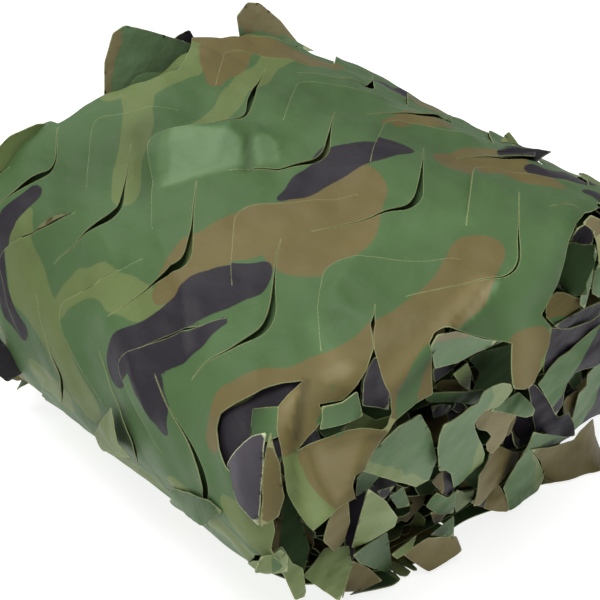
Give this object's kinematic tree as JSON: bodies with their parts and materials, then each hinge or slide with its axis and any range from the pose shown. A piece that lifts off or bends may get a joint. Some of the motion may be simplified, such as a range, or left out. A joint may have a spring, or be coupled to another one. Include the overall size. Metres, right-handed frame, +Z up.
{
  "type": "rolled camouflage net",
  "caption": "Camouflage net of slit woodland-print cloth, wound into a thick flattened roll with ragged leafy ends, lying on its side.",
  "frame": {"origin": "middle of the flat spot that the roll rests on, below the roll's axis", "axes": "+X along the roll's axis towards its ragged near end, +Y across the roll, +Z up"},
  "size_m": [0.4696, 0.3977, 0.3013],
  "materials": {
    "woodland_cloth": "coated polyester with a soft satin sheen, printed in green, olive, brown and black blotches"
  },
  "bodies": {
    "root": {"slit_cloth_roll": "woodland_cloth"}
  },
  "joints": []
}
